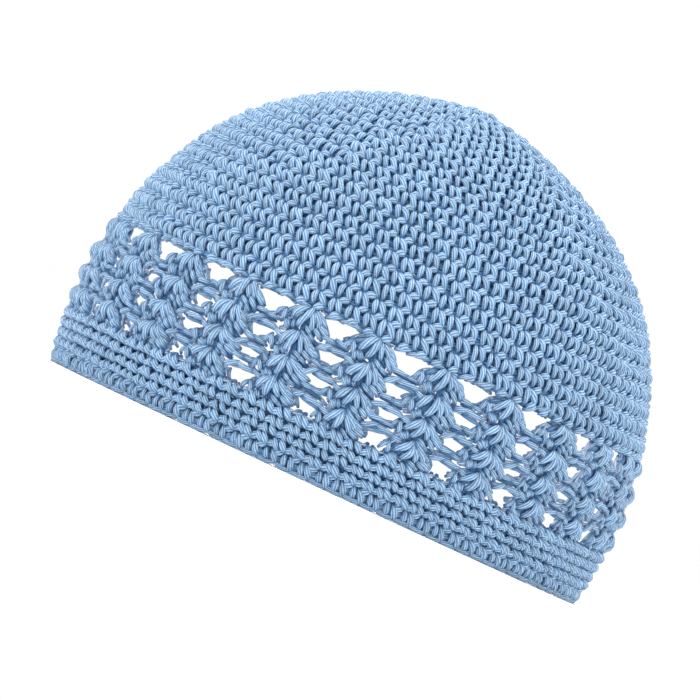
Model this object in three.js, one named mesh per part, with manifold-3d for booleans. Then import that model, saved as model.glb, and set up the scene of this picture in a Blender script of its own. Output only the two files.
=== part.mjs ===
// Crocheted cotton kufi: a domed crown, a band of shell lace, a firm hem and
// an edging round, one wall of yarn throughout. Millimetres, +Z up; the hat
// stands on its rim at z = 0 with its axis on Z.
import * as THREE from 'three';
import { mergeVertices } from 'three/addons/utils/BufferGeometryUtils.js';
import Module from 'manifold-3d';

const wasm = await Module();
wasm.setup();

// ---- driving sizes ---------------------------------------------------------
const hatHeight = 127;         // rim to the tip of the crown
const wall = 3.0;              // thickness of the crocheted wall
const seam = 0.3;              // clearance left between neighbouring sections

const laceTop = 49.5;          // height where the crown ends and the lace starts
const laceBottom = 16.7;       // height where the lace ends and the hem starts
const edgingTop = 5.0;         // height where the hem ends and the edging starts

// Outer shape of the hat, from the rim up to the tip of the crown.
const profile = [
  { height: 0, radius: 89.4 },
  { height: 8, radius: 91.0 },
  { height: 17, radius: 92.0 },
  { height: 27, radius: 92.5 },
  { height: 40, radius: 91.6 },
  { height: 52, radius: 89.1 },
  { height: 65, radius: 85.3 },
  { height: 77.5, radius: 79.8 },
  { height: 90, radius: 71.9 },
  { height: 102, radius: 60.4 },
  { height: 112.5, radius: 45.2 },
  { height: 120.6, radius: 27.0 },
  { height: 125.2, radius: 11.0 },
  { height: hatHeight, radius: 0 },
];

// Shell lace: columns of shells round the hat, four shells high.
const laceColumns = 24;
const columnLean = 0.035;      // sideways drift of a column per unit of height
// Gaps between two columns, one row of the table for each round of shells.
// A gap is wide under its chain bar and narrows where the shells fan out.
const laceGaps = [
  { top: 47.2, bottom: 41.2, widthTop: 13.2, widthBottom: 5.6 },
  { top: 38.6, bottom: 33.4, widthTop: 10.0, widthBottom: 5.8 },
  { top: 30.0, bottom: 25.6, widthTop: 9.4, widthBottom: 5.6 },
  { top: 22.8, bottom: 19.2, widthTop: 9.0, widthBottom: 5.4 },
];

const barLength = 7.6;         // length of a chain bar from shell to shell
const barDrop = 1.1;           // how far the bars lie below the shells' faces

const hemRounds = 4;           // firm rounds of the hem
const roundDip = 0.45;         // depth of the groove between two hem rounds
const edgeBead = 1.6;          // height of the chain line on the very edge

// ---- wall profile ------------------------------------------------------------
// Smooth curve through the profile table: x is the radius, y the height.
const outerCurve = new THREE.CatmullRomCurve3(
  profile.map((p) => new THREE.Vector3(p.radius, p.height, 0)),
  false,
  'centripetal',
);
const fineCurve = outerCurve.getPoints(600);

// Point and outward normal of the wall at a height below the tip.
function wallAt(height) {
  let i = 1;
  while (i < fineCurve.length - 1 && fineCurve[i].y < height) i += 1;
  const a = fineCurve[i - 1];
  const b = fineCurve[i];
  const t = (height - a.y) / (b.y - a.y);
  const along = new THREE.Vector2(b.x - a.x, b.y - a.y).normalize();
  return {
    point: new THREE.Vector2(a.x + (b.x - a.x) * t, height),
    normal: new THREE.Vector2(along.y, -along.x),
  };
}

// Radius of the wall's inner face at a height: the outer face moved inwards.
function innerRadius(height) {
  const { point, normal } = wallAt(height);
  return point.x - wall / Math.max(normal.x, 0.5);
}

// ---- solids --------------------------------------------------------------------
function revolve(points, segments) {
  const geometry = new THREE.LatheGeometry(points, segments);
  geometry.rotateX(Math.PI / 2);
  return geometry;
}

function toSolid(geometry) {
  const bare = geometry.clone();
  bare.deleteAttribute('normal');
  bare.deleteAttribute('uv');
  const merged = mergeVertices(bare, 1e-4);
  return new wasm.Manifold(new wasm.Mesh({
    numProp: 3,
    vertProperties: new Float32Array(merged.attributes.position.array),
    triVerts: new Uint32Array(merged.index.array),
  }));
}

function toGeometry(solid) {
  const mesh = solid.getMesh();
  const geometry = new THREE.BufferGeometry();
  geometry.setAttribute('position', new THREE.BufferAttribute(
    new Float32Array(mesh.vertProperties), 3));
  geometry.setIndex(new THREE.BufferAttribute(new Uint32Array(mesh.triVerts), 1));
  const flat = geometry.toNonIndexed();
  flat.computeVertexNormals();
  return flat;
}

// A ring of wall between two heights, its outer face shaped by the offsets.
function wallRing(low, high, outerSteps, innerSteps, segments, offset = () => 0) {
  const points = [];
  for (let i = 0; i <= outerSteps; i += 1) {
    const height = low + (high - low) * (i / outerSteps);
    points.push(new THREE.Vector2(wallAt(height).point.x + offset(height), height));
  }
  for (let i = innerSteps; i >= 0; i -= 1) {
    const height = low + (high - low) * (i / innerSteps);
    points.push(new THREE.Vector2(innerRadius(height), height));
  }
  points.push(points[0].clone());
  return revolve(points, segments);
}

// Crown: a dome of even wall, open below.
function crownGeometry() {
  const low = laceTop + seam / 2;
  const base = wallAt(low).point;
  const start = fineCurve.findIndex((p) => p.y > low);
  const outer = [base];
  const inner = [new THREE.Vector2(innerRadius(low), low)];
  // stations spread evenly along the curve
  const outerStations = 16;
  const innerStations = 10;
  for (let i = 1; i < outerStations; i += 1) {
    const p = fineCurve[Math.round(start + (600 - start) * (i / outerStations))];
    outer.push(new THREE.Vector2(p.x, p.y));
  }
  for (let i = 1; i < innerStations; i += 1) {
    const k = Math.round(start + (596 - start) * (i / innerStations));
    const p = fineCurve[k];
    const q = fineCurve[k + 1];
    const along = new THREE.Vector2(q.x - p.x, q.y - p.y).normalize();
    const height = p.y + along.x * wall;
    if (height > low + 1) inner.push(new THREE.Vector2(p.x - along.y * wall, height));
  }
  outer.push(new THREE.Vector2(0, hatHeight));
  inner.push(new THREE.Vector2(0, hatHeight - wall * 1.03));
  // from the inner tip down the inside, across the lower edge, up the outside
  return revolve([...inner.reverse(), ...outer], 56);
}

// Lace: the ring of wall with one gap cut for each shell of each column.
function laceGeometry() {
  const low = laceBottom + seam / 2;
  const high = laceTop - seam / 2;
  const band = toSolid(wallRing(low, high, 3, 1, laceColumns * 2));
  const middle = (laceTop + laceBottom) / 2;
  const cutFrom = 80;            // radius where the cutters start, inside the wall
  const cutDepth = 18;           // and how far out they run
  const cutters = [];
  const tallest = laceGaps[0].top;
  const lowest = laceGaps[laceGaps.length - 1].bottom;
  for (let column = 0; column < laceColumns; column += 1) {
    // the chain bars between two columns lie lower than the shells beside them
    const shift = ((tallest - lowest) / 2) * columnLean;
    const strip = new THREE.ExtrudeGeometry(new THREE.Shape([
      new THREE.Vector2(-barLength / 2 + shift, tallest),
      new THREE.Vector2(-barLength / 2 - shift, lowest),
      new THREE.Vector2(barLength / 2 - shift, lowest),
      new THREE.Vector2(barLength / 2 + shift, tallest),
    ]), { depth: 10, bevelEnabled: false });
    strip.rotateX(Math.PI / 2);
    strip.translate(0, -wallAt(33).point.x + barDrop, 0);
    strip.rotateZ(((column + 0.5) / laceColumns) * Math.PI * 2);
    cutters.push(toSolid(strip));
    for (const gap of laceGaps) {
      const drift = (gap.top + gap.bottom) / 2 - middle;
      // outline seen from outside the hat: x runs round the wall, y up it
      const outline = new THREE.Shape([
        new THREE.Vector2(-gap.widthTop / 2, gap.top),
        new THREE.Vector2(-gap.widthBottom / 2, gap.bottom),
        new THREE.Vector2(gap.widthBottom / 2, gap.bottom),
        new THREE.Vector2(gap.widthTop / 2, gap.top),
      ]);
      const cutter = new THREE.ExtrudeGeometry(outline, { depth: cutDepth, bevelEnabled: false });
      cutter.translate(drift * columnLean, 0, 0);
      // the outline's y becomes up and its extrusion runs out through the wall
      cutter.rotateX(Math.PI / 2);
      cutter.translate(0, -cutFrom, 0);
      cutter.rotateZ(((column + 0.5) / laceColumns) * Math.PI * 2);
      cutters.push(toSolid(cutter));
    }
  }
  return toGeometry(band.subtract(wasm.Manifold.union(cutters)));
}

// Hem: a ring whose outer face swells once for each crocheted round.
function hemGeometry() {
  const low = edgingTop + seam / 2;
  const high = laceBottom - seam / 2;
  const steps = hemRounds * 2;
  const pitch = (high - low) / hemRounds;
  return wallRing(low, high, steps, 1, 56, (height) => {
    const phase = (height - low) / pitch;
    return Math.abs(phase - Math.round(phase)) < 0.1 ? -roundDip : 0;
  });
}

// Edging: tall posts over a thin chain line, flat where the hat stands on it.
function edgingGeometry() {
  const high = edgingTop - seam / 2;
  const outer = (height) => wallAt(height).point.x;
  return revolve([
    new THREE.Vector2(outer(0) - wall + 0.4, 0),
    new THREE.Vector2(outer(0) - 0.5, 0),
    new THREE.Vector2(outer(0) + 0.1, 0.5),
    new THREE.Vector2(outer(edgeBead) + 0.1, edgeBead - 0.4),
    new THREE.Vector2(outer(edgeBead) - 0.5, edgeBead),
    new THREE.Vector2(outer(2.6), 2.6),
    new THREE.Vector2(outer(4), 4),
    new THREE.Vector2(outer(high) - roundDip, high),
    new THREE.Vector2(innerRadius(high), high),
    new THREE.Vector2(innerRadius(0.6), 0.6),
    new THREE.Vector2(outer(0) - wall + 0.4, 0),
  ], 56);
}

// ---- assembly --------------------------------------------------------------------
const kufi = new THREE.Group();
kufi.name = 'kufi';

function add(name, geometry, colour, roughness) {
  const material = new THREE.MeshStandardMaterial({ color: colour, roughness, metalness: 0 });
  material.name = `${name}_cotton`;
  const mesh = new THREE.Mesh(geometry, material);
  mesh.name = name;
  kufi.add(mesh);
}

add('crown', crownGeometry(), 0x86aed6, 0.9);
add('lace_band', laceGeometry(), 0x7ba5cf, 0.9);
add('hem_band', hemGeometry(), 0x7299c4, 0.9);
add('rim_edging', edgingGeometry(), 0x83abd3, 0.9);

export default kufi;
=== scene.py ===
# Crocheted cotton kufi: every stitch is yarn laid on the hat's wall, row by row.
import math
import bpy
import numpy as np
from mathutils import Euler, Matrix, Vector


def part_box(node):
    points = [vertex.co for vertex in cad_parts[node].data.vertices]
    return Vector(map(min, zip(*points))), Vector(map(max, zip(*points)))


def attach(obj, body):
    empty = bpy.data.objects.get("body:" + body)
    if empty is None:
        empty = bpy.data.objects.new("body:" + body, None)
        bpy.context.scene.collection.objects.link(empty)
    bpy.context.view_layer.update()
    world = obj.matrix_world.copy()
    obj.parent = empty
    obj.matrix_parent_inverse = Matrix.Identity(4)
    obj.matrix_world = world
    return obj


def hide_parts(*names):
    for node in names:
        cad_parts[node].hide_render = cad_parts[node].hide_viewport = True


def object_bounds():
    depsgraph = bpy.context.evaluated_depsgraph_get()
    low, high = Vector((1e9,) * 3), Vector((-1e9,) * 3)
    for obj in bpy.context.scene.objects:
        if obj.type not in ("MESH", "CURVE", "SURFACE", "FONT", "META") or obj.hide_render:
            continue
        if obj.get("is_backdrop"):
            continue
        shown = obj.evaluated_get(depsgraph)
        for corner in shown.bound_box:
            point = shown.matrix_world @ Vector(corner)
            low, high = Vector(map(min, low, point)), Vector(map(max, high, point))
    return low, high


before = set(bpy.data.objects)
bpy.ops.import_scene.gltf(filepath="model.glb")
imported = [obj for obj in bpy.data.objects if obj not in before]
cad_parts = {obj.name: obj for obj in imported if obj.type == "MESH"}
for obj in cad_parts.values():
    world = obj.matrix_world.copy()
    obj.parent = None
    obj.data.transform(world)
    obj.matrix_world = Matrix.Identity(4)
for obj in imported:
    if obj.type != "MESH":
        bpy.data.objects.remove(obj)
cadLow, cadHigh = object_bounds()
print("scene: frame loaded")

mm = 0.001
rng = np.random.default_rng(7)

wallSet = {
    "inset": 1.65 * mm,      # from the hat's outer face to the middle of the yarn layer
    "step": 0.25 * mm,       # spacing of the samples along the wall
    "rimStrip": 0.6 * mm,    # the profile ends this close to the rim
    "minDrop": 0.4 * mm,     # least fall from one station of the profile to the next
    "sameTurn": 1e-4,        # radians within which two stations lie on one line
    "spanSamples": 60,       # samples of the curve between two stations
    "tipRadius": 0.6 * mm,   # smallest radius used when millimetres are turned into angles
}


def outerProfile():
    # radius and height of the hat's outer face, tip first, read from the solids
    found = []
    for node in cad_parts.values():
        verts = np.empty(len(node.data.vertices) * 3)
        node.data.vertices.foreach_get("co", verts)
        verts = verts.reshape(-1, 3)
        found.append(np.column_stack([np.hypot(verts[:, 0], verts[:, 1]), verts[:, 2]]))
    points = np.unique(np.round(np.vstack(found), 6), axis=0)
    points = points[np.lexsort((points[:, 0], -points[:, 1]))]
    hull = [np.array([0.0, cadHigh.z])]
    while hull[-1][1] > cadLow.z + wallSet["rimStrip"]:
        # the next station down is the one that keeps every other inside
        here = hull[-1]
        below = points[points[:, 1] < here[1] - wallSet["minDrop"]]
        turn = np.arctan2(below[:, 0] - here[0], here[1] - below[:, 1])
        best = turn > turn.max() - wallSet["sameTurn"]
        hull.append(below[best][np.argmax(below[best][:, 1])])
    return np.array(hull)


def smoothThrough(stations, step):
    # cubic curve through the stations, sampled evenly along its length
    ends = np.vstack([[-stations[1][0], stations[1][1]], stations,
                      2 * stations[-1] - stations[-2]])
    fine = []
    for i in range(1, len(ends) - 2):
        a, b, c, d = ends[i - 1:i + 3]
        t = np.linspace(0, 1, wallSet["spanSamples"], endpoint=False)[:, None]
        reach = np.linalg.norm(c - b)
        before = (c - a) / (np.linalg.norm(c - b) + np.linalg.norm(b - a)) * reach
        after = (d - b) / (np.linalg.norm(d - c) + np.linalg.norm(c - b)) * reach
        fine.append((2 * t**3 - 3 * t**2 + 1) * b + (t**3 - 2 * t**2 + t) * before
                    + (-2 * t**3 + 3 * t**2) * c + (t**3 - t**2) * after)
    fine = np.vstack(fine + [stations[-1][None]])
    run = np.concatenate([[0], np.cumsum(np.linalg.norm(np.diff(fine, axis=0), axis=1))])
    even = np.arange(0, run[-1], step)
    return np.column_stack([np.interp(even, run, fine[:, 0]), np.interp(even, run, fine[:, 1])])


outer = smoothThrough(outerProfile(), wallSet["step"])
slope = np.gradient(outer, axis=0)
slope /= np.linalg.norm(slope, axis=1)[:, None]
outward = np.column_stack([-slope[:, 1], slope[:, 0]])     # out of the hat, radius and height
outward[0] = (0, 1)
middle = outer + np.column_stack([slope[:, 1], -slope[:, 0]]) * wallSet["inset"]
middle[:, 0] = np.maximum(middle[:, 0], 0)
run = np.concatenate([[0], np.cumsum(np.linalg.norm(np.diff(middle, axis=0), axis=1))])


def radiusAt(down):
    return np.maximum(np.interp(down, run, middle[:, 0]), wallSet["tipRadius"])


def downAt(height):
    # distance from the tip along the wall to a height
    return float(np.interp(-height, -middle[:, 1], run))


def onWall(turn, down, lift):
    # turn is the angle round the hat, down the way from the tip, lift the way out
    past = np.maximum(down - run[-1], 0)
    radius = np.interp(down, run, middle[:, 0])
    height = np.interp(down, run, middle[:, 1]) - past
    outR = np.interp(down, run, outward[:, 0])
    outZ = np.interp(down, run, outward[:, 1])
    size = np.hypot(outR, outZ)
    outR, outZ = outR / size, outZ / size
    ring = radius + lift * outR
    spot = np.stack([ring * np.cos(turn), ring * np.sin(turn), height + lift * outZ], axis=-1)
    out = np.stack([outR * np.cos(turn), outR * np.sin(turn), outZ], axis=-1)
    return spot, out


archSet = {
    "hump": 0.8,             # under 1 lifts a run's ends steeply and keeps its top flat
    "swell": 0.6,            # the same for its thickness
    "blunt": 0.04,           # share of a run at each end that keeps the end's thickness
}


class YarnPaths:
    # open runs of yarn, gathered as arrays until they are swept into tubes

    def __init__(self):
        self.spots, self.outs, self.lift = [], [], []
        self.thick, self.tone, self.counts = [], [], []

    def lay(self, turn0, down0, lift0, turn1, down1, lift1, thick, taper,
            rise=0.0, bow=0.0, sag=0.0, points=7):
        # arcs from one spot to another: rise lifts the middle, bow moves it round the hat
        # and sag moves it down the hat; thick is half the yarn's width, and taper is the
        # share of it that is gone at a run's ends
        values = np.broadcast_arrays(*[np.atleast_1d(np.asarray(v, float)) for v in (
            turn0, down0, lift0, turn1, down1, lift1, rise, bow, sag, thick)])
        turn0, down0, lift0, turn1, down1, lift1, rise, bow, sag, thick = [
            v[:, None] for v in values]
        t = np.linspace(0, 1, points)[None, :]
        hump = np.sin(np.pi * t) ** archSet["hump"]
        down = down0 + (down1 - down0) * t + sag * np.sin(np.pi * t)
        turn = turn0 + (turn1 - turn0) * t + bow * np.sin(np.pi * t) / radiusAt(down)
        lift = lift0 + (lift1 - lift0) * t + rise * hump
        spot, out = onWall(turn, down, lift)
        inner = np.clip(t, archSet["blunt"], 1 - archSet["blunt"])
        body = (1 - taper) + taper * np.sin(np.pi * inner) ** archSet["swell"]
        self.spots.append(spot.reshape(-1, 3))
        self.outs.append(out.reshape(-1, 3))
        self.lift.append(lift.reshape(-1))
        self.thick.append((thick * body).reshape(-1))
        tones = rng.uniform(0, 1, len(thick))
        self.tone.append(np.repeat(tones, points))
        self.counts += [points] * len(thick)

    def meshObject(self, name):
        spots = np.vstack(self.spots)
        # every point but the last of a run is joined to the next
        joined = np.ones(len(spots), bool)
        joined[np.cumsum(self.counts) - 1] = False
        edges = np.flatnonzero(joined)
        mesh = bpy.data.meshes.new(name)
        mesh.from_pydata(spots.tolist(), np.column_stack([edges, edges + 1]).tolist(), [])
        for label, kind, values in (("outward", "FLOAT_VECTOR", np.vstack(self.outs)),
                                    ("lift", "FLOAT", np.concatenate(self.lift)),
                                    ("thick", "FLOAT", np.concatenate(self.thick)),
                                    ("tone", "FLOAT", np.concatenate(self.tone))):
            layer = mesh.attributes.new(label, kind, "POINT")
            layer.data.foreach_set("vector" if kind == "FLOAT_VECTOR" else "value",
                                   values.astype(np.float32).ravel())
        made = bpy.data.objects.new(name, mesh)
        bpy.context.scene.collection.objects.link(made)
        print("scene:", name, len(self.counts), "runs of yarn")
        return made


sweepSet = {
    "Yarn Size": 1.0,            # scales every run's thickness
    "Sides": 6,
    "Flatness": 0.82,            # thickness across the wall over width along it
    "Stray": 0.34 * mm,          # how far handwork wanders from the even stitch
    "Stray Size": 190.0,         # patches per metre in that wander
    "Seed": 4.0,
    "Outer Round": 1.25,         # how strongly a run's own roundness counts in the painted shade seen from outside, so its sides are painted darker
    "Inner Round": -2.0,         # and seen from inside the hat
    "Inner Start": -0.5 * mm,    # depth that the painted shade on faces inside counts from
}


def addNode(tree, kind, settings=None, **links):
    # a node with its settings, its inputs set from values or linked from sockets
    node = tree.nodes.new(kind)
    for key, value in (settings or {}).items():
        setattr(node, key, value)
    for key, value in links.items():
        # i0, i1 and i2 name an input by its number, and any other word by its label
        numbered = key[0] == "i" and key[1:].isdigit()
        socket = node.inputs[int(key[1:]) if numbered else key.replace("_", " ")]
        if isinstance(value, bpy.types.NodeSocket):
            tree.links.new(value, socket)
        else:
            socket.default_value = value
    return node


def sweepTree():
    tree = bpy.data.node_groups.new("sweepYarn", "GeometryNodeTree")
    face = tree.interface
    face.new_socket("Paths", in_out="INPUT", socket_type="NodeSocketGeometry")
    for label in sweepSet:
        kind = "NodeSocketInt" if label == "Sides" else "NodeSocketFloat"
        face.new_socket(label, in_out="INPUT", socket_type=kind)
    face.new_socket("Yarn", in_out="INPUT", socket_type="NodeSocketMaterial")
    face.new_socket("Tubes", in_out="OUTPUT", socket_type="NodeSocketGeometry")
    given = addNode(tree, "NodeGroupInput").outputs
    # handwork: the whole run wanders a little, by a smooth noise in space
    place = addNode(tree, "GeometryNodeInputPosition")
    noise = addNode(tree, "ShaderNodeTexNoise", {"noise_dimensions": "4D"},
                    Vector=place.outputs[0], W=given["Seed"], Scale=given["Stray Size"], Detail=1.0)
    centred = addNode(tree, "ShaderNodeVectorMath", {"operation": "SUBTRACT"},
                      i0=noise.outputs["Color"], i1=(0.5, 0.5, 0.5))
    # the noise keeps to the middle half of its range, so it is stretched to reach the stray
    stretch = addNode(tree, "ShaderNodeMath", {"operation": "MULTIPLY"}, i0=given["Stray"], i1=4.0)
    wander = addNode(tree, "ShaderNodeVectorMath", {"operation": "SCALE"},
                     i0=centred.outputs[0], Scale=stretch.outputs[0])
    strayed = addNode(tree, "GeometryNodeSetPosition", None,
                      Geometry=given["Paths"], Offset=wander.outputs[0])
    curve = addNode(tree, "GeometryNodeMeshToCurve", None, Mesh=strayed.outputs[0])
    thick = addNode(tree, "GeometryNodeInputNamedAttribute", {"data_type": "FLOAT"}, Name="thick")
    sized = addNode(tree, "ShaderNodeMath", {"operation": "MULTIPLY"},
                    i0=thick.outputs["Attribute"], i1=given["Yarn Size"])
    length = addNode(tree, "GeometryNodeSplineParameter")
    along = addNode(tree, "GeometryNodeStoreNamedAttribute",
                    {"data_type": "FLOAT", "domain": "POINT"},
                    Geometry=curve.outputs[0], Name="along", Value=length.outputs["Length"])
    core = addNode(tree, "GeometryNodeStoreNamedAttribute",
                   {"data_type": "FLOAT_VECTOR", "domain": "POINT"},
                   Geometry=along.outputs[0], Name="core", Value=place.outputs[0])
    ring = addNode(tree, "GeometryNodeCurvePrimitiveCircle", {"mode": "RADIUS"},
                   Resolution=given["Sides"], Radius=1.0)
    around = addNode(tree, "GeometryNodeStoreNamedAttribute",
                     {"data_type": "FLOAT_VECTOR", "domain": "POINT"},
                     Geometry=ring.outputs[0], Name="around", Value=place.outputs[0])
    swept = addNode(tree, "GeometryNodeCurveToMesh", None,
                    Curve=core.outputs[0], Profile_Curve=around.outputs[0],
                    Scale=sized.outputs[0], Fill_Caps=True)
    # yarn pressed flat against the wall: squeeze each tube along the wall's normal
    coreAt = addNode(tree, "GeometryNodeInputNamedAttribute",
                     {"data_type": "FLOAT_VECTOR"}, Name="core")
    outAt = addNode(tree, "GeometryNodeInputNamedAttribute",
                    {"data_type": "FLOAT_VECTOR"}, Name="outward")
    offCore = addNode(tree, "ShaderNodeVectorMath", {"operation": "SUBTRACT"},
                      i0=place.outputs[0], i1=coreAt.outputs["Attribute"])
    depth = addNode(tree, "ShaderNodeVectorMath", {"operation": "DOT_PRODUCT"},
                    i0=offCore.outputs[0], i1=outAt.outputs["Attribute"])
    squeeze = addNode(tree, "ShaderNodeMath", {"operation": "SUBTRACT"},
                      i0=given["Flatness"], i1=1.0)
    amount = addNode(tree, "ShaderNodeMath", {"operation": "MULTIPLY"},
                     i0=depth.outputs["Value"], i1=squeeze.outputs[0])
    push = addNode(tree, "ShaderNodeVectorMath", {"operation": "SCALE"},
                   i0=outAt.outputs["Attribute"], Scale=amount.outputs[0])
    # crest is how far each point stands out from the middle of the yarn layer; it sets the painted
    # shade that darkens yarn lying deep in the wall, with the yarn's own roundness counted a little
    # extra so that its sides are painted darker too;
    # faces that look into the hat count from their own yarn alone
    liftAt = addNode(tree, "GeometryNodeInputNamedAttribute", {"data_type": "FLOAT"}, Name="lift")
    outside = addNode(tree, "ShaderNodeMath", {"operation": "MULTIPLY_ADD"},
                      i0=depth.outputs["Value"], i1=given["Outer Round"],
                      i2=liftAt.outputs["Attribute"])
    inside = addNode(tree, "ShaderNodeMath", {"operation": "MULTIPLY_ADD"},
                     i0=depth.outputs["Value"], i1=given["Inner Round"], i2=given["Inner Start"])
    stands = addNode(tree, "ShaderNodeMath", {"operation": "MAXIMUM"},
                     i0=outside.outputs[0], i1=inside.outputs[0])
    crested = addNode(tree, "GeometryNodeStoreNamedAttribute",
                      {"data_type": "FLOAT", "domain": "POINT"},
                      Geometry=swept.outputs[0], Name="crest", Value=stands.outputs[0])
    pressed = addNode(tree, "GeometryNodeSetPosition", None,
                      Geometry=crested.outputs[0], Offset=push.outputs[0])
    soft = addNode(tree, "GeometryNodeSetShadeSmooth", None, Geometry=pressed.outputs[0])
    whole = addNode(tree, "GeometryNodeRealizeInstances", None, Geometry=soft.outputs[0])
    dressed = addNode(tree, "GeometryNodeSetMaterial", None,
                      Geometry=whole.outputs[0], Material=given["Yarn"])
    addNode(tree, "NodeGroupOutput", None, i0=dressed.outputs[0])
    return tree


sweepYarn = sweepTree()


def sweep(paths, name, yarn, nodes):
    # runs the tree over a piece's paths and keeps the result as a plain mesh
    laid = paths.meshObject(name + "Paths")
    modifier = laid.modifiers.new("sweepYarn", "NODES")
    modifier.node_group = sweepYarn
    for item in sweepYarn.interface.items_tree:
        if item.in_out == "INPUT" and item.name != "Paths":
            modifier[item.identifier] = yarn if item.name == "Yarn" else sweepSet[item.name]
    bpy.context.view_layer.update()
    graph = bpy.context.evaluated_depsgraph_get()
    mesh = bpy.data.meshes.new_from_object(laid.evaluated_get(graph),
                                           preserve_all_data_layers=True, depsgraph=graph)
    bpy.data.objects.remove(laid, do_unlink=True)
    # only what the yarn's material reads is kept
    for label in ("core", "outward", "lift", "thick"):
        mesh.attributes.remove(mesh.attributes[label])
    mesh.name = name
    piece = bpy.data.objects.new(name, mesh)
    bpy.context.scene.collection.objects.link(piece)
    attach(piece, "root")
    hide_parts(*nodes)
    triangles = sum(len(p.vertices) - 2 for p in mesh.polygons)
    print("scene:", name, triangles, "triangles")


def linear(hexColour):
    # sRGB hex to the linear colour that shaders take
    parts = [int(hexColour[i:i + 2], 16) / 255 for i in (1, 3, 5)]
    return tuple(c / 12.92 if c <= 0.04045 else ((c + 0.055) / 1.055) ** 2.4 for c in parts) + (1,)


cottonSet = {
    "crest": "#B1CEE9",          # crown of a ply on the outside of the hat, painted pale as if lit
    "flankShade": "#84ACD0",          # side of a ply, with a little painted shade
    "foldShade": "#5189BB",           # painted shade where one yarn dives under the next
    "recessShade": "#2C639D",         # painted shade deep inside the wall
    "deepest": -1.24 * mm,       # crest where the painted shade is darkest
    "reach": 2.50 * mm,          # from there to the crest where the painted shade ends and the yarn is fully pale
    # where each colour of the painted shade sits between fully dark, 0, and fully pale, 1
    "rampAt": {"recessShade": 0.12, "foldShade": 0.42, "flankShade": 0.70, "crest": 0.96},
    "plies": 7,                  # strands round the yarn
    "plyWander": 2.0,            # radians that a ply strays from its even turn
    "plyShade": 0.68,            # how much darker the groove between two plies is painted, as shade
    "twist": 260.0,              # turn of the plies, radians per metre of yarn
    "plyRound": 1.5,             # over 1 widens the groove between plies, in the bump and in its painted shade
    "plyDepth": 0.26 * mm,
    "yarnRadius": 1.0 * mm,      # half a yarn, that the fibre width is set against
    "fibre": 0.10 * mm,          # width of a bundle of fibres, coarser than real so it shows
    "fibreSlender": 0.15,        # width of a bundle over its length
    "fibreDepth": 0.03 * mm,
    "fibreShade": 0.40,          # difference in value between bundles
    "runShift": 37.0,            # how far apart two runs' fibres lie in the noise
    "toneSpread": 0.20,          # difference in value between one run of yarn and the next
    "mottle": 0.10,              # difference in value from place to place on the hat
    "mottleSize": 60.0,          # patches per metre
    "ior": 1.5,
    "roughness": 0.50,
    "sheen": 0.15,
    "sheenRoughness": 0.45,
}


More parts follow.
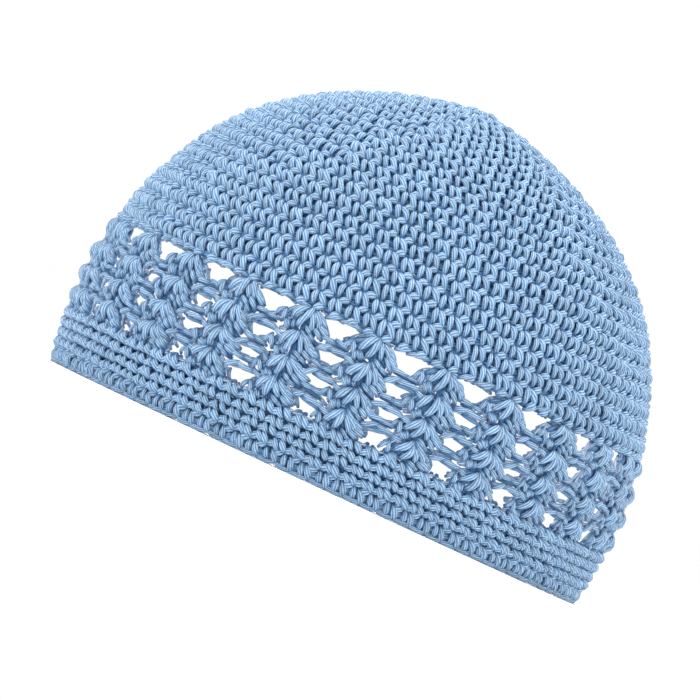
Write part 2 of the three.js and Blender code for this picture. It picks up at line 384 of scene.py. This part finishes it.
def pliedCotton(name, spec):
    # plied cotton yarn, combed, twisted and lightly mercerised: pale lines of strands along
    # the yarn with painted shade in the grooves between them, and a soft broad gloss
    made = bpy.data.materials.new(name)
    made.use_nodes = True
    tree = made.node_tree
    tree.nodes.clear()
    around = addNode(tree, "ShaderNodeAttribute", {"attribute_name": "around"})
    along = addNode(tree, "ShaderNodeAttribute", {"attribute_name": "along"})
    tone = addNode(tree, "ShaderNodeAttribute", {"attribute_name": "tone"})
    crest = addNode(tree, "ShaderNodeAttribute", {"attribute_name": "crest"})
    axes = addNode(tree, "ShaderNodeSeparateXYZ", None, Vector=around.outputs["Vector"])
    angle = addNode(tree, "ShaderNodeMath", {"operation": "ARCTAN2"},
                    i0=axes.outputs[1], i1=axes.outputs[0])
    spun = addNode(tree, "ShaderNodeMath", {"operation": "MULTIPLY"},
                   i0=along.outputs["Fac"], i1=spec["twist"] * spec["plies"] / 2)
    phase = addNode(tree, "ShaderNodeMath", {"operation": "MULTIPLY_ADD"},
                    i0=angle.outputs[0], i1=spec["plies"] / 2, i2=spun.outputs[0])
    # bundles of fibres run along the yarn: fine across it, long along it
    across = addNode(tree, "ShaderNodeVectorMath", {"operation": "SCALE"},
                     i0=around.outputs["Vector"], Scale=spec["yarnRadius"] / spec["fibre"])
    lengthwise = addNode(tree, "ShaderNodeMath", {"operation": "MULTIPLY"},
                         i0=along.outputs["Fac"], i1=spec["fibreSlender"] / spec["fibre"])
    # a shift by tone gives each run fibres of its own
    toneShift = addNode(tree, "ShaderNodeMath", {"operation": "MULTIPLY_ADD"},
                        i0=tone.outputs["Fac"], i1=spec["runShift"], i2=lengthwise.outputs[0])
    split = addNode(tree, "ShaderNodeSeparateXYZ", None, Vector=across.outputs[0])
    where = addNode(tree, "ShaderNodeCombineXYZ", None,
                    X=split.outputs[0], Y=split.outputs[1], Z=toneShift.outputs[0])
    fibres = addNode(tree, "ShaderNodeTexNoise", None,
                     Vector=where.outputs[0], Scale=1.0, Detail=2.0)
    # the groove between two plies wanders with the fibres
    wandering = addNode(tree, "ShaderNodeMath", {"operation": "MULTIPLY_ADD"},
                        i0=fibres.outputs["Fac"], i1=spec["plyWander"], i2=phase.outputs[0])
    wave = addNode(tree, "ShaderNodeMath", {"operation": "COSINE"}, i0=wandering.outputs[0])
    ply = addNode(tree, "ShaderNodeMath", {"operation": "ABSOLUTE"}, i0=wave.outputs[0])
    plyRound = addNode(tree, "ShaderNodeMath", {"operation": "POWER"},
                       i0=ply.outputs[0], i1=spec["plyRound"])
    # painted shade: pale on both faces of the wall and dark deep between them, with a painted dark
    # line in each groove between plies
    offDeep = addNode(tree, "ShaderNodeMath", {"operation": "SUBTRACT"},
                      i0=crest.outputs["Fac"], i1=spec["deepest"])
    depthShade = addNode(tree, "ShaderNodeMath", {"operation": "DIVIDE", "use_clamp": True},
                      i0=offDeep.outputs[0], i1=spec["reach"])
    plyGrooveShade = addNode(tree, "ShaderNodeMath", {"operation": "MULTIPLY_ADD"},
                    i0=plyRound.outputs[0], i1=spec["plyShade"], i2=1.0 - spec["plyShade"])
    shade = addNode(tree, "ShaderNodeMath", {"operation": "MULTIPLY"},
                    i0=depthShade.outputs[0], i1=plyGrooveShade.outputs[0])
    ramp = addNode(tree, "ShaderNodeValToRGB", None, Fac=shade.outputs[0])
    stops = ramp.color_ramp.elements
    rampAt = spec["rampAt"]
    stops[0].position, stops[0].color = rampAt["recessShade"], linear(spec["recessShade"])
    stops[1].position, stops[1].color = rampAt["crest"], linear(spec["crest"])
    for label in ("foldShade", "flankShade"):
        stops.new(rampAt[label]).color = linear(spec[label])
    # dye takes a little unevenly from run to run and along the hat
    spot = addNode(tree, "ShaderNodeTexCoord")
    cloud = addNode(tree, "ShaderNodeTexNoise", None,
                    Vector=spot.outputs["Object"], Scale=spec["mottleSize"], Detail=2.0)
    mottle = addNode(tree, "ShaderNodeMath", {"operation": "MULTIPLY_ADD"},
                     i0=cloud.outputs["Fac"], i1=spec["mottle"],
                     i2=1.0 - spec["mottle"] / 2 - spec["toneSpread"] / 2)
    value = addNode(tree, "ShaderNodeMath", {"operation": "MULTIPLY_ADD"},
                    i0=tone.outputs["Fac"], i1=spec["toneSpread"], i2=mottle.outputs[0])
    streak = addNode(tree, "ShaderNodeMath", {"operation": "MULTIPLY_ADD"},
                     i0=fibres.outputs["Fac"], i1=spec["fibreShade"], i2=-spec["fibreShade"] / 2)
    level = addNode(tree, "ShaderNodeMath", {"operation": "ADD"},
                    i0=value.outputs[0], i1=streak.outputs[0])
    tinted = addNode(tree, "ShaderNodeHueSaturation", None,
                     Color=ramp.outputs["Color"], Value=level.outputs[0])
    plyBump = addNode(tree, "ShaderNodeBump", None, Height=plyRound.outputs[0],
                      Distance=spec["plyDepth"], Strength=1.0)
    fibreBump = addNode(tree, "ShaderNodeBump", None, Height=fibres.outputs["Fac"],
                        Distance=spec["fibreDepth"], Strength=1.0, Normal=plyBump.outputs[0])
    shader = addNode(tree, "ShaderNodeBsdfPrincipled", None,
                     Base_Color=tinted.outputs[0], Roughness=spec["roughness"], IOR=spec["ior"],
                     Sheen_Weight=spec["sheen"], Sheen_Roughness=spec["sheenRoughness"],
                     Normal=fibreBump.outputs[0])
    addNode(tree, "ShaderNodeOutputMaterial", None, Surface=shader.outputs[0])
    return made


skyCotton = pliedCotton("pliedCottonSkyBlue", cottonSet)
print("scene: yarn material made")


# how unevenly the stitches are worked, as standard deviations
handSet = {
    "yarn": 0.06,                # share of the yarn's thickness
    "rise": 0.08,                # share of a leg's rise
    "hole": 0.14 * mm,           # where a stitch's hole is, round the hat
    "start": 0.15 * mm,          # where its legs start, down the hat
    "foot": 0.26 * mm,           # where a leg ends, round the hat
    "drop": 0.22 * mm,           # and down it
    "knotEnd": 0.15 * mm,        # where its top loop's ends are, round the hat
    "knotLow": 0.12 * mm,        # and the lower of them, down it
}
stitchSet = {
    "tipSpread": 0.15,           # share of the spread left where a round starts in one point
    "nearTip": 1.5 * mm,         # smallest radius that the legs spread on
    "footDepth": 0.6,            # a leg ends at this share of the depth it starts from
    "sideYarn": 0.06,            # the right leg is thicker and the left thinner by this share
    "legTaper": 0.36,
    "knotHalf": 1.1 * mm,        # half the length of the top loop
    "knotTilt": 0.45 * mm,       # half its slant
    "knotDepth": -0.6 * mm,
    "knotYarn": 1.08,            # thickness over the legs' yarn
    "knotTaper": 0.3,
    "backHalf": 0.56,            # half the length of a strand inside, in stitch widths
    "backFall": 0.10,            # how far it slants, in row heights
    "backRise": -0.35 * mm,
    "backYarn": 1.12,
    "backTaper": 0.15,
}


def layRound(paths, top, bottom, turns, holes, look):
    # one round of single crochet between two distances from the tip; turns are the
    # stitches' angles and holes the angles of the gaps they are worked into
    height = bottom - top
    ringTop, ringLow = radiusAt(top), radiusAt(bottom)
    count = len(turns)
    wide = 2 * math.pi / count * ringLow

    def jitter(size):
        return rng.normal(0, size, count)

    yarn = look["yarn"] * (1 + jitter(handSet["yarn"]))
    holes = holes + jitter(handSet["hole"]) / ringLow
    # two legs out of one hole, spreading down the hat to the stitch's top loop
    spread = look["spread"] * wide * min(1, ringTop / ringLow + stitchSet["tipSpread"])
    spread /= max(ringTop, stitchSet["nearTip"])
    for side, foot, drop in ((-1, look["leftFoot"], look["leftDrop"]),
                             (1, look["rightFoot"], look["rightDrop"])):
        paths.lay(holes + side * spread,
                  top + look["start"] * height + jitter(handSet["start"]), look["deep"],
                  turns + (foot * wide + jitter(handSet["foot"])) / ringLow,
                  top + drop * height + jitter(handSet["drop"]),
                  look["deep"] * stitchSet["footDepth"],
                  rise=look["rise"] * (1 + jitter(handSet["rise"])),
                  bow=side * look["bow"] * wide,
                  thick=yarn * (1 + stitchSet["sideYarn"] * side),
                  points=7, taper=stitchSet["legTaper"])
    # the loop on top of the stitch shows as a short knot between the feet
    knotX, knotY = look["knotX"] * wide, top + look["knotY"] * height
    half, tilt = stitchSet["knotHalf"], stitchSet["knotTilt"]
    paths.lay(turns + (knotX - half + jitter(handSet["knotEnd"])) / ringLow,
              knotY + tilt, stitchSet["knotDepth"],
              turns + (knotX + half + jitter(handSet["knotEnd"])) / ringLow,
              knotY - tilt + jitter(handSet["knotLow"]), stitchSet["knotDepth"],
              rise=look["knot"], thick=yarn * stitchSet["knotYarn"],
              points=5, taper=stitchSet["knotTaper"])
    # inside the hat the back loops and the backs of the legs run round the wall
    half = stitchSet["backHalf"] * wide / ringLow
    for place, depth in look["backs"]:
        paths.lay(turns - half, top + place * height, depth,
                  turns + half, top + (place + stitchSet["backFall"]) * height, depth,
                  rise=stitchSet["backRise"], thick=yarn * stitchSet["backYarn"],
                  points=4, taper=stitchSet["backTaper"])


# A look gives one stitch. Feet, spread, bow and knotX are in stitch widths from the
# stitch's middle, and start, drops and knotY in row heights from its top. The legs start
# at deep in the wall, and rise and knot are how far legs and top loop stand out from it.
# Backs are the place down the row and the depth of each strand inside.
crownSet = {
    "rounds": 22,
    # each piece has its first round and the round that the next piece starts with
    "pieces": {"crownTip": (0, 13), "crownDome": (13, 18), "crownWall": (18, 22)},
    "easing": 0.07,              # rounds by the tip are this much taller, by the lace shorter
    "stitchWidth": 5.5 * mm,
    "widthUp": 1.5 * mm,         # the width is measured this far above a round's lower edge
    "firstRound": 6,             # stitches in the round that the crown starts with
    "fullRound": 96,             # stitches in the widest round, four to each lace repeat
    "drift": 0.9 * mm,           # each round's stitches sit this far back from the last's
    "driftRadius": 4.0 * mm,     # smallest radius that they drift on
    "tip": 1.0 * mm,             # where the first round starts
    # rings of the coil at the tip, down the hat and in from the wall, three runs to a ring
    "coil": ((0.8 * mm, -0.9 * mm), (1.6 * mm, -0.4 * mm), (8.8 * mm, -1.7 * mm)),
    "coilRuns": 3,
    "coilTurn": 2.6,             # radians that each run goes round
    "coilYarn": 1.0 * mm,
    "coilTaper": 0.1,
    "look": {"yarn": 1.06 * mm, "deep": -1.00 * mm, "rise": 2.10 * mm, "bow": 0.03,
             "spread": 0.11, "start": -0.04, "leftFoot": 0.00, "leftDrop": 0.86,
             "rightFoot": 0.55, "rightDrop": 0.82, "knot": 1.8 * mm, "knotX": 0.36,
             "knotY": 0.97, "backs": ((0.08, -1.35 * mm), (0.44, -0.60 * mm), (0.80, -0.75 * mm))},
}
# heights where one section ends and the next begins
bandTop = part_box("crown")[0].z
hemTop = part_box("hem_band")[1].z
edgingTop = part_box("rim_edging")[1].z
columnZero = -math.pi / 2        # angle of the first lace column
repeats = 24                     # lace columns round the hat


def crownRounds():
    # stitch counts and angles of every round, tip first
    tip, end = crownSet["tip"], downAt(bandTop)
    share = np.linspace(0, 1, crownSet["rounds"] + 1)
    edges = tip + (end - tip) * (share + crownSet["easing"] * share * (1 - share))
    counts = []
    for low in edges[1:]:
        around = 2 * math.pi * radiusAt(low - crownSet["widthUp"])
        fit = round(around / crownSet["stitchWidth"])
        counts.append(int(np.clip(fit, crownSet["firstRound"], crownSet["fullRound"])))
    counts[-1] = crownSet["fullRound"]
    drifts = crownSet["drift"] / np.maximum(radiusAt(edges[1:]), crownSet["driftRadius"])
    # the last round puts a hole over each lace column; earlier ones follow from it
    turn = columnZero + drifts.sum()
    found = []
    before = None
    for top, low, count, drift in zip(edges[:-1], edges[1:], counts, drifts):
        turn = turn - drift
        turns = turn + np.arange(count) * 2 * math.pi / count
        holes = turns
        if before is not None:
            # where a round has more stitches than the last, two share a hole
            parent = np.rint(np.arange(count) * len(before) / count).astype(int)
            lap = parent // len(before)
            holes = before[parent % len(before)] + lap * 2 * math.pi - drift
        found.append((top, low, turns, holes))
        before = turns
    return found


rounds = crownRounds()
print("scene: stitches in the crown's rounds", [len(turns) for top, low, turns, holes in rounds])
for label, (first, following) in crownSet["pieces"].items():
    paths = YarnPaths()
    for top, low, turns, holes in rounds[first:following]:
        layRound(paths, top, low, turns, holes, crownSet["look"])
    if first == 0:
        # the ring that the first round is worked into, drawn shut, and its tail laid in
        # behind the second round
        coil = np.arange(crownSet["coilRuns"]) * 2 * math.pi / crownSet["coilRuns"]
        for down, lift in crownSet["coil"]:
            paths.lay(coil, down, lift, coil + crownSet["coilTurn"], down, lift,
                      thick=crownSet["coilYarn"], taper=crownSet["coilTaper"])
    sweep(paths, label, skyCotton, ["crown"])


hemSet = {
    "rounds": 4,
    "drift": 1.0 * mm,
    "lap": 0.9 * mm,             # how far the first round reaches up behind the lace
    "look": {"yarn": 1.06 * mm, "deep": -0.95 * mm, "rise": 2.25 * mm, "bow": 0.03,
             "spread": 0.15, "start": -0.05, "leftFoot": 0.20, "leftDrop": 0.82,
             "rightFoot": 0.54, "rightDrop": 0.76, "knot": 1.6 * mm, "knotX": 0.78,
             "knotY": 0.48, "backs": ((0.34, -1.15 * mm), (0.70, -1.1 * mm))},
}


def plainRounds(top, bottom, count, stitches, drift, turn):
    # rounds without increases; also gives the angle that the next round starts from
    edges = np.linspace(top, bottom, count + 1)
    found = []
    for a, b in zip(edges[:-1], edges[1:]):
        turns = turn + np.arange(stitches) * 2 * math.pi / stitches
        found.append((a, b, turns, turns))
        turn -= drift / radiusAt(b)
    return found, turn


paths = YarnPaths()
hemRows, edgeTurn = plainRounds(downAt(hemTop) - hemSet["lap"], downAt(edgingTop),
                                hemSet["rounds"], crownSet["fullRound"], hemSet["drift"],
                                columnZero)
for top, low, turns, holes in hemRows:
    layRound(paths, top, low, turns, holes, hemSet["look"])
sweep(paths, "hemBand", skyCotton, ["hem_band"])


edgingSet = {
    "chain": 1.1 * mm,           # height of the chain line at the very edge
    "drift": 0.6 * mm,
    "chainLifts": (1.15 * mm, -0.95 * mm),   # its outer and its inner side
    "chainUp": (1.45 * mm, 1.50 * mm),       # from the table to a link's two ends
    "chainReach": (0.60, 0.62),              # a link's two halves, in stitches
    "chainEnd": 0.2,                         # share of its lift that a link's ends have
    "chainSag": 0.12 * mm,
    "chainYarn": 0.86 * mm,
    "chainTaper": 0.3,
    "look": {"yarn": 1.10 * mm, "deep": -0.5 * mm, "rise": 1.65 * mm, "bow": 0.02,
             "spread": 0.15, "start": -0.02, "leftFoot": -0.06, "leftDrop": 1.02,
             "rightFoot": 0.42, "rightDrop": 1.02, "knot": 1.5 * mm, "knotX": 0.46,
             "knotY": 0.00, "backs": ((0.15, -1.0 * mm), (0.50, -0.15 * mm), (0.88, -0.1 * mm))},
}
paths = YarnPaths()
rim = run[-1] + middle[-1, 1]     # distance from the tip to the table
edgeRows, edgeTurn = plainRounds(downAt(edgingTop), rim - edgingSet["chain"], 1,
                                 crownSet["fullRound"], edgingSet["drift"], edgeTurn)
for top, low, turns, holes in edgeRows:
    layRound(paths, top, low, turns, holes, edgingSet["look"])
stitch = 2 * math.pi / crownSet["fullRound"]
chainTurns = edgeTurn + np.arange(crownSet["fullRound"]) * stitch
behind, ahead = edgingSet["chainReach"]
startUp, endUp = edgingSet["chainUp"]
for lift in edgingSet["chainLifts"]:
    paths.lay(chainTurns - behind * stitch, rim - startUp, edgingSet["chainEnd"] * lift,
              chainTurns + ahead * stitch, rim - endUp, edgingSet["chainEnd"] * lift,
              rise=lift, sag=edgingSet["chainSag"], thick=edgingSet["chainYarn"],
              points=7, taper=edgingSet["chainTaper"])
sweep(paths, "rimEdging", skyCotton, ["rim_edging"])


# One repeat of lace, charted: x runs round the hat from the column's middle and
# y down from the shell's tip, in millimetres, for a row as tall as rowHeight. The columns
# are from x, y, depth, to x, y, depth, rise, bow, width.
laceSet = {
    "rowTops": [48.6, 40.2, 31.8, 24.4],     # height of each row's shell tips, mm
    "last": 16.9,                            # height where the last row meets the hem, mm
    "upright": 33,                           # height where a column stands at its own angle, mm
    "rowHeight": 8.2,
    "yarn": 0.95,
    "yarnHand": 0.05,                        # unevenness of its thickness
    "longRun": 5,                            # runs longer than this, mm, bend in more points
    "taper": 0.45,
    # swing turns each repeat, radians, and stray moves each end, mm, both as standard
    # deviations; lean drifts a column sideways on its way down, mm per mm
    "shellHand": {"swing": 0.07, "stray": 0.24, "lean": -0.035},
    "barHand": {"swing": 0.03, "stray": 0.38, "lean": 0.0},
}
shellChart = [
    # two broad legs at the left of the shell, over everything else
    (-0.2, -0.3, -0.5, -4.3, 4.2, -0.2, 2.1, -0.3, 1.22),
    (0.4, -0.3, -0.2, -1.4, 6.0, -0.5, 2.3, 0.4, 1.22),
    # long legs to the right
    (0.9, 0.2, -0.5, 3.1, 5.4, -0.6, 2.0, 0.3, 1.08),
    (1.4, -0.4, -0.6, 5.2, 4.4, -0.6, 1.9, 0.6, 1.04),
    (2.1, 0.4, -0.8, 7.3, 3.8, -0.7, 1.5, 0.6, 0.94),
    # the next stitches' legs, out of the fan's lower half
    (4.3, 3.0, -0.6, 8.4, 6.0, -0.7, 1.6, 0.2, 0.92),
    (3.2, 4.2, -0.7, 7.1, 7.2, -0.8, 1.5, 0.1, 0.92),
    (5.8, 3.2, -0.8, 8.6, 5.2, -0.8, 1.3, 0.1, 0.84),
    (0.9, 5.0, -0.8, 3.9, 7.4, -0.8, 1.4, 0.0, 0.88),
    (2.8, 6.4, -0.9, 5.6, 8.6, -0.9, 1.2, 0.0, 0.82),
    (0.8, 6.6, -0.9, 3.2, 8.8, -0.9, 1.2, 0.0, 0.82),
    # strands under the fan, seen dark between the legs
    (-0.4, 0.0, -1.2, -5.8, 3.2, -1.0, 0.8, -0.6, 0.95),
    (-0.2, 0.6, -1.4, -3.3, 6.8, -1.1, 0.2, 0.0, 1.05),
    (0.2, 1.2, -1.5, 0.6, 8.2, -1.2, 0.1, 0.0, 1.15),
    (0.8, 0.8, -1.5, 2.4, 7.8, -1.2, 0.2, 0.0, 1.15),
    (1.1, 0.4, -1.5, 4.6, 7.2, -1.2, 0.2, 0.2, 1.05),
    (2.0, 0.6, -1.5, 6.7, 5.8, -1.2, 0.2, 0.2, 1.00),
    (-4.2, 7.4, -1.4, -0.2, 7.9, -1.4, 0.1, 0.0, 1.10),
    (3.2, 7.6, -1.4, 6.9, 8.7, -1.3, 0.1, 0.0, 1.05),
    # fan of short strands below the first broad leg
    (-5.6, 5.6, -0.8, -3.3, 8.4, -0.8, 1.4, -0.2, 0.84),
    (-4.6, 5.2, -0.8, -2.8, 8.0, -0.9, 1.4, -0.2, 0.82),
    (-3.3, 5.0, -0.9, -2.2, 7.8, -0.9, 1.3, -0.1, 0.82),
    # chevron at the left edge of the shell
    (-7.3, 2.7, -0.7, -8.9, 6.0, -0.8, 1.4, -0.2, 0.80),
    (-7.2, 2.8, -0.6, -6.1, 7.0, -0.8, 1.5, 0.3, 0.84),
    (-5.2, 3.6, -1.2, -6.5, 5.6, -1.0, 0.6, 0.0, 0.90),
]
# two chains from one column to the next, x from the left column, y from the tips of the row
barChart = [
    (6.4, 1.8, -0.4, 11.0, -0.5, -0.2, 1.1, 0.0, 0.90),
    (10.2, 0.1, -0.3, 17.4, 0.7, -0.3, 1.1, 0.0, 0.88),
    (10.0, 1.0, -0.8, 17.0, 1.4, -0.7, 0.5, 0.0, 0.80),
    (16.4, 0.6, -0.3, 20.8, 2.5, -0.7, 1.1, 0.0, 0.88),
    (7.2, -2.7, -0.4, 12.4, -2.1, -0.4, 1.0, 0.0, 0.84),
    (11.4, -2.3, -0.5, 16.6, -2.0, -0.5, 0.8, 0.0, 0.82),
    (8.2, -1.6, -0.9, 15.8, -1.3, -0.9, 0.3, 0.0, 0.78),
]
# chain along the lower edge of the crown, over the first row of gaps
topChart = [
    (4.8, 0.2, -0.4, 9.7, -1.9, -0.3, 1.2, 0.0, 0.90),
    (9.2, -0.9, -0.3, 17.0, -1.7, -0.4, 1.1, 0.0, 0.90),
    (16.4, -1.5, -0.4, 23.0, -0.6, -0.7, 1.1, 0.0, 0.88),
    (6.0, -1.2, -1.0, 12.6, -1.8, -1.0, 0.2, 0.0, 0.88),
    (11.8, -2.0, -1.0, 19.6, -1.6, -1.0, 0.2, 0.0, 0.88),
]


def layChart(paths, chart, turn, tip, scaleY, spec):
    # lays one row of every column; each column turns and strays a little on its own
    count = len(turn)
    swing = rng.normal(0, spec["swing"], count)
    for x0, y0, n0, x1, y1, n1, rise, bow, width in chart:
        wob = rng.normal(0, spec["stray"], (4, count))
        xs = (x0 - y0 * swing + wob[0], x1 - y1 * swing + wob[1])
        ys = (y0 + x0 * swing + wob[2], y1 + x1 * swing + wob[3])
        downs = [tip + y * scaleY * mm for y in ys]
        turns = [turn + (x + spec["lean"] * y * scaleY) * mm / radiusAt(tip)
                 for x, y in zip(xs, ys)]
        yarn = laceSet["yarn"] * width * mm * (1 + rng.normal(0, laceSet["yarnHand"], count))
        isLong = abs(y1 - y0) + abs(x1 - x0) > laceSet["longRun"]
        paths.lay(turns[0], downs[0], n0 * mm, turns[1], downs[1], n1 * mm,
                  rise=rise * mm, bow=bow * mm, thick=yarn,
                  points=7 if isLong else 5, taper=laceSet["taper"])


shells, bars = YarnPaths(), YarnPaths()
tops = laceSet["rowTops"] + [laceSet["last"]]
columns = columnZero + np.arange(repeats) * 2 * math.pi / repeats
for row in range(len(laceSet["rowTops"])):
    tip, nextTip = downAt(tops[row] * mm), downAt(tops[row + 1] * mm)
    scaleY = (nextTip - tip) / (laceSet["rowHeight"] * mm)
    shift = (laceSet["shellHand"]["lean"] * (tip - downAt(laceSet["upright"] * mm))
             / radiusAt(tip))
    layChart(shells, shellChart, columns + shift, tip, scaleY, laceSet["shellHand"])
    layChart(bars, barChart if row else topChart, columns + shift, tip, 1.0, laceSet["barHand"])
sweep(shells, "laceShells", skyCotton, ["lace_band"])
sweep(bars, "laceBars", skyCotton, ["lace_band"])


# places in metres, angles in degrees, the lens in millimetres
cameraSet = {
    "turn": 0.0,                 # round the hat from straight in front
    "height": 0.045,
    "distance": 5.0,             # far back, so that the gaps of both walls line up
    "aim": (-0.0066, 0.0, 0.0422),
    "roll": 25.0,
    "lens": 827.0,
    "clipStart": 0.02,
}


def pointAt(thing, target, roll=0.0):
    # turns a camera or a lamp to face a spot, then rolls it about its own line of sight
    gaze = Vector(target) - thing.location
    thing.rotation_euler = (gaze.to_track_quat("-Z", "Y").to_matrix()
                            @ Euler((0, 0, math.radians(roll))).to_matrix()).to_euler()


view = math.radians(cameraSet["turn"])
camera = bpy.data.objects.new("camera", bpy.data.cameras.new("camera"))
camera.location = (math.sin(view) * cameraSet["distance"],
                   -math.cos(view) * cameraSet["distance"], cameraSet["height"])
pointAt(camera, cameraSet["aim"], cameraSet["roll"])
camera.data.lens = cameraSet["lens"]
camera.data.clip_start = cameraSet["clipStart"]
bpy.context.scene.collection.objects.link(camera)
bpy.context.scene.camera = camera


floorSet = {
    "radius": 8.0,
    "sides": 96,
    "colour": "#FDFDFD",
    "roughness": 0.9,
}


def paperFloor():
    # calendered matt background paper: an even white with no gloss and no visible edge,
    # laid flat and wide enough to pass behind the camera
    mesh = bpy.data.meshes.new("paperFloor")
    angles = np.arange(floorSet["sides"]) * 2 * math.pi / floorSet["sides"]
    reach = floorSet["radius"]
    verts = [(reach * math.cos(a), reach * math.sin(a), 0) for a in angles]
    mesh.from_pydata(verts, [], [range(floorSet["sides"])])
    made = bpy.data.objects.new("paperFloor", mesh)
    paper = bpy.data.materials.new("whiteBackgroundPaper")
    paper.use_nodes = True
    shader = paper.node_tree.nodes["Principled BSDF"]
    shader.inputs["Base Color"].default_value = linear(floorSet["colour"])
    shader.inputs["Roughness"].default_value = floorSet["roughness"]
    mesh.materials.append(paper)
    bpy.context.scene.collection.objects.link(made)
    return made


paperFloor()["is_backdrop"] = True

roomSet = {"colour": "#FFFFFF", "strength": 1.01}     # a white room that just reaches full white
world = bpy.data.worlds.new("studio")
world.use_nodes = True
room = world.node_tree.nodes["Background"]
room.inputs["Color"].default_value = linear(roomSet["colour"])
room.inputs["Strength"].default_value = roomSet["strength"]
bpy.context.scene.world = world
bpy.context.scene.view_settings.view_transform = "Standard"

# place, size, watts and colour of each lamp, all turned to the middle of the hat
lightAim = (0, 0, 0.06)
lightSet = {
    "softLeft": ((-1.1, -0.7, 0.9), 0.9, 7.4, "#FFFFFF"),
    "softRight": ((1.2, -0.6, 0.9), 0.9, 5.2, "#FFFFFF"),
    "softTop": ((0.0, 0.1, 1.5), 1.0, 15.5, "#FFFFFF"),
    # inside the hat and warm: it lifts the far wall behind the lace to a paler, greyer blue
    "softInside": ((0.0, -0.055, 0.03), 0.09, 0.36, "#FFDCC4"),
}
for label, (place, size, watts, colour) in lightSet.items():
    lamp = bpy.data.lights.new(label, "AREA")
    lamp.shape, lamp.size, lamp.energy = "DISK", size, watts
    lamp.color = linear(colour)[:3]
    holder = bpy.data.objects.new(label, lamp)
    holder.location = place
    holder.visible_camera = False
    pointAt(holder, lightAim)
    bpy.context.scene.collection.objects.link(holder)
print("scene: camera, paper and lights set")

low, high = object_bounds()
